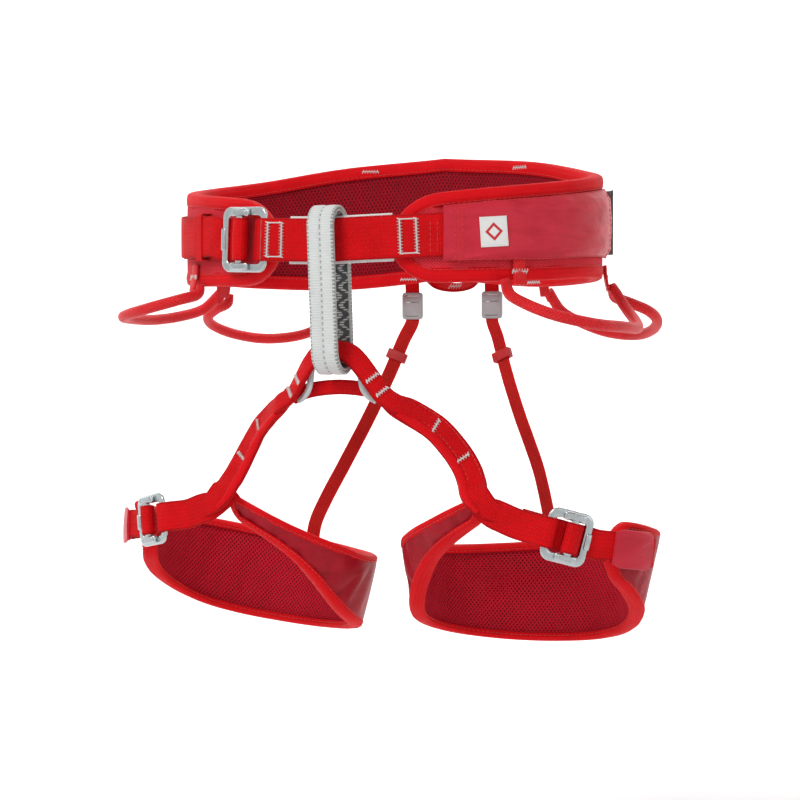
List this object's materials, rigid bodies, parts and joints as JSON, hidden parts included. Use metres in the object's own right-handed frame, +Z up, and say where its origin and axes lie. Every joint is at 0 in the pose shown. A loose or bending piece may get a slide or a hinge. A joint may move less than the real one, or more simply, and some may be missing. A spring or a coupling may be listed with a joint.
{
  "type": "climbing harness",
  "caption": "Sit harness in the pose it takes when worn: padded waist belt and leg loops of webbing, belay loop, buckles, gear loops, haul loop and elastic rear risers.",
  "frame": {"origin": "middle of the waist opening, at the height of the middle of the belt", "axes": "+Z up as worn, -Y to the front of the wearer, +X to the wearer's left"},
  "size_m": [0.3898, 0.2638, 0.3439],
  "materials": {
    "foam": "matt",
    "mesh_lining": "perforated mesh",
    "outer_fabric": "smooth nylon, slight sheen",
    "binding": "folded tape",
    "webbing": "woven webbing",
    "elastic": "woven elastic",
    "gear_loop": "sheathed tube",
    "pale_webbing": "woven webbing",
    "wear_guard": "smooth coated webbing",
    "label": "woven patch",
    "grey_plastic": "moulded",
    "buckle_metal": "satin"
  },
  "bodies": {
    "waist_belt": {"waist_foam": "foam", "waist_lining": "mesh_lining", "waist_outer_shell": "outer_fabric", "waist_binding": "binding", "waist_load_webbing": "webbing", "waist_adjusting_strap": "webbing", "waist_front_strap": "webbing", "waist_strap_tail": "webbing", "tie_in_sleeve": "pale_webbing", "waist_buckle_frame": "buckle_metal", "waist_sleeve": "outer_fabric", "side_label": "label", "gear_tab_front_left": "webbing", "gear_tab_mid_left": "webbing", "gear_tab_rear_left": "webbing", "gear_tab_front_right": "webbing", "gear_tab_mid_right": "webbing", "gear_tab_rear_right": "webbing", "riser_hanger_left": "elastic", "riser_buckle_left": "grey_plastic", "riser_strap_left": "elastic", "riser_slider_left": "grey_plastic", "riser_hanger_right": "elastic", "riser_buckle_right": "grey_plastic", "riser_strap_right": "elastic", "riser_slider_right": "grey_plastic"},
    "waist_buckle_bar_body": {"waist_buckle_bar": "buckle_metal"},
    "waist_keeper": {"waist_tail_keeper": "elastic"},
    "belay_loop": {"belay_loop_outer": "pale_webbing", "belay_loop_inner": "pale_webbing"},
    "leg_bridge": {"tie_in_arch": "webbing", "tie_in_lower_strand": "webbing", "tie_in_wear_guard": "wear_guard", "bridge_strap_left": "webbing", "bridge_strap_right": "webbing"},
    "haul": {"haul_loop": "webbing"},
    "leg_loop_left": {"leg_foam_left": "foam", "leg_lining_left": "mesh_lining", "leg_outer_shell_left": "outer_fabric", "leg_binding_left": "binding", "leg_anchor_strap_left": "webbing", "leg_front_strap_left": "webbing", "leg_strap_tail_left": "webbing", "leg_left_buckle_frame": "buckle_metal"},
    "leg_buckle_left": {"leg_left_buckle_bar": "buckle_metal"},
    "riser_release_left": {"riser_lever_left": "grey_plastic"},
    "gear_front_left": {"gear_loop_front_left": "gear_loop"},
    "gear_rear_left": {"gear_loop_rear_left": "gear_loop"},
    "leg_loop_right": {"leg_foam_right": "foam", "leg_lining_right": "mesh_lining", "leg_outer_shell_right": "outer_fabric", "leg_binding_right": "binding", "leg_anchor_strap_right": "webbing", "leg_front_strap_right": "webbing", "leg_strap_tail_right": "webbing", "leg_right_buckle_frame": "buckle_metal"},
    "leg_buckle_right": {"leg_right_buckle_bar": "buckle_metal"},
    "riser_release_right": {"riser_lever_right": "grey_plastic"},
    "gear_front_right": {"gear_loop_front_right": "gear_loop"},
    "gear_rear_right": {"gear_loop_rear_right": "gear_loop"}
  },
  "joints": [
    {"name": "leg_loops_swing", "type": "hinge", "parent": "waist_belt", "child": "leg_bridge", "pos_m": [0, -0.116, -0.013], "axis": [1, 0, 0], "range_deg": [-20, 8], "stiffness_Nm_per_rad": 3, "springref_deg": 2.86, "deforming": ["riser_strap_left", "riser_strap_right"]},
    {"name": "belay_loop_swing", "type": "hinge", "parent": "waist_belt", "child": "belay_loop", "pos_m": [0, -0.116, -0.013], "axis": [1, 0, 0], "range_deg": [-20, 8]},
    {"name": "waist_buckle_slide", "type": "slide", "parent": "waist_belt", "child": "waist_buckle_bar_body", "axis": [0.9559, -0.2907, -0.0416], "range_m": [0, 0.006], "deforming": ["waist_adjusting_strap"]},
    {"name": "waist_keeper_slide", "type": "hinge", "parent": "waist_belt", "child": "waist_keeper", "pos_m": [-0.02926, 0.0109, -0.007], "axis": [0, 0, 1], "range_deg": [-7, 2]},
    {"name": "haul_loop_lift", "type": "hinge", "parent": "waist_belt", "child": "haul", "pos_m": [0, 0.1195, -0.017], "axis": [1, 0, 0], "range_deg": [-5, 70]},
    {"name": "leg_loop_roll_left", "type": "hinge", "parent": "leg_bridge", "child": "leg_loop_left", "pos_m": [0.091, -0.067, -0.184], "axis": [0.069, 0.9729, -0.2208], "range_deg": [-12, 12], "stiffness_Nm_per_rad": 0.4},
    {"name": "gear_front_left_flex", "type": "hinge", "parent": "waist_belt", "child": "gear_front_left", "pos_m": [0.11, -0.08, -0.0445], "axis": [0.3213, 0.9469, -0.0082], "range_deg": [-20, 30], "stiffness_Nm_per_rad": 0.3},
    {"name": "gear_rear_left_flex", "type": "hinge", "parent": "waist_belt", "child": "gear_rear_left", "pos_m": [0.146, 0.045, -0.0455], "axis": [-0.7438, 0.6683, 0.0058], "range_deg": [-20, 30], "stiffness_Nm_per_rad": 0.3},
    {"name": "riser_left_release", "type": "hinge", "parent": "waist_belt", "child": "riser_release_left", "pos_m": [0.031, 0.1246, -0.04], "axis": [1, 0, 0], "range_deg": [0, 30], "stiffness_Nm_per_rad": 0.02},
    {"name": "leg_loop_roll_right", "type": "hinge", "parent": "leg_bridge", "child": "leg_loop_right", "pos_m": [-0.091, -0.067, -0.184], "axis": [-0.069, 0.9729, -0.2208], "range_deg": [-12, 12], "stiffness_Nm_per_rad": 0.4},
    {"name": "gear_front_right_flex", "type": "hinge", "parent": "waist_belt", "child": "gear_front_right", "pos_m": [-0.11, -0.08, -0.0445], "axis": [-0.3213, 0.9469, -0.0082], "range_deg": [-20, 30], "stiffness_Nm_per_rad": 0.3},
    {"name": "gear_rear_right_flex", "type": "hinge", "parent": "waist_belt", "child": "gear_rear_right", "pos_m": [-0.146, 0.045, -0.0455], "axis": [0.7438, 0.6683, 0.0058], "range_deg": [-20, 30], "stiffness_Nm_per_rad": 0.3},
    {"name": "riser_right_release", "type": "hinge", "parent": "waist_belt", "child": "riser_release_right", "pos_m": [-0.031, 0.1246, -0.04], "axis": [1, 0, 0], "range_deg": [0, 30], "stiffness_Nm_per_rad": 0.02},
    {"name": "leg_buckle_slide_left", "type": "slide", "parent": "leg_loop_left", "child": "leg_buckle_left", "axis": [-0.8689, -0.427, 0.2504], "range_m": [0, 0.004], "deforming": ["leg_anchor_strap_left"]},
    {"name": "leg_buckle_slide_right", "type": "slide", "parent": "leg_loop_right", "child": "leg_buckle_right", "axis": [0.8799, -0.4457, 0.1644], "range_m": [0, 0.004], "deforming": ["leg_anchor_strap_right"]}
  ],
  "couplings": [
    {"joint": "belay_loop_swing", "follows": "leg_loops_swing", "ratio": 1}
  ]
}
